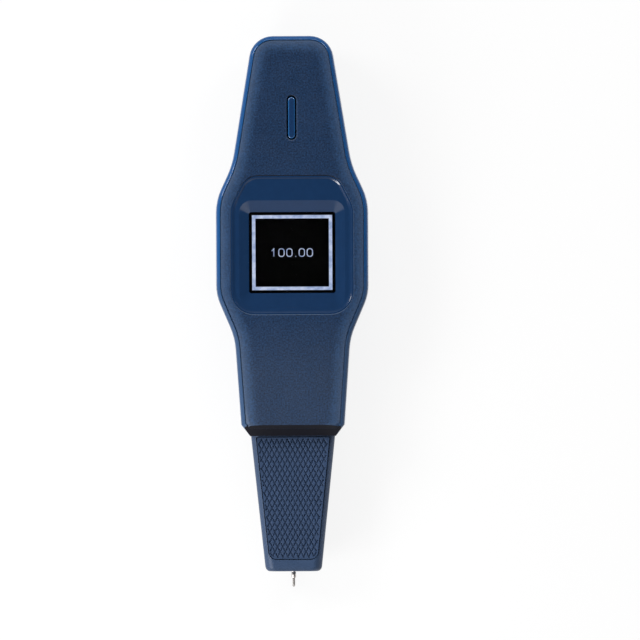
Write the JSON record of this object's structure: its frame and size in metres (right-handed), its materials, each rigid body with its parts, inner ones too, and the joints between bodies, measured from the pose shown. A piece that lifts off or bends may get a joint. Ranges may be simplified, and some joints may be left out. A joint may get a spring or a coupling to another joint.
{
  "type": "diamond tester",
  "caption": "Handheld gem tester: shouldered two-part case, recessed square display, slim push button, knurled tapered nose and a sprung metal contact probe.",
  "frame": {"origin": "centre of the bounding box in X and Y, on the plane of the flat back that the tester lies on", "axes": "+X across the case, +Y from the probe towards the button end, +Z from the back to the display face"},
  "size_m": [0.05, 0.1804, 0.0252],
  "materials": {
    "shell_gloss": "polished moulded rim",
    "face_texture": "fine moulded grain",
    "bezel_gloss": "polished",
    "window_clear": "clear, polished",
    "display_black": "dark display glass",
    "foam": "foam",
    "ribbon": "film",
    "board": "lacquered laminate",
    "chip": "moulded",
    "connector": "moulded",
    "plated": "plated",
    "button_gloss": "polished",
    "rear_gloss": "satin moulded",
    "cell": "sleeved can",
    "nose_satin": "satin moulded",
    "grip": "knurled soft pad",
    "brass": "turned",
    "probe_metal": "drawn",
    "lead": "cable sheath"
  },
  "bodies": {
    "case": {"front_shell": "shell_gloss", "face_panel": "face_texture", "display_bezel": "bezel_gloss", "display_window": "window_clear", "display_module": "display_black", "display_pad": "foam", "display_ribbon": "ribbon", "main_board": "board", "board_chips": "chip", "probe_connector": "connector", "usb_socket": "plated", "buzzer": "chip", "tact_switch": "chip", "rear_shell": "rear_gloss", "battery_1": "cell", "battery_2": "cell", "battery_springs": "plated", "battery_plates": "plated", "case_screws": "plated", "nose_housing": "nose_satin", "front_grip": "grip", "rear_grip": "grip", "probe_bush": "brass", "probe_spring": "plated", "probe_end_plug": "chip", "probe_lead": "lead"},
    "button": {"power_button": "button_gloss", "switch_plunger": "connector"},
    "probe": {"probe_sleeve": "probe_metal", "probe_tip": "probe_metal", "probe_carrier": "connector"},
    "cover": {"battery_cover": "rear_gloss"}
  },
  "joints": [
    {"name": "button_press", "type": "slide", "parent": "case", "child": "button", "axis": [0, 0, -1], "range_m": [0, 0.00035], "stiffness_N_per_m": 1500, "springref_m": -0.0003},
    {"name": "probe_retract", "type": "slide", "parent": "case", "child": "probe", "axis": [0, 1, 0], "range_m": [0, 0.0025], "stiffness_N_per_m": 400, "springref_m": -0.002, "deforming": ["probe_spring"]},
    {"name": "battery_cover_lift", "type": "slide", "parent": "case", "child": "cover", "axis": [0, 0, -1], "range_m": [0, 0.016]}
  ]
}
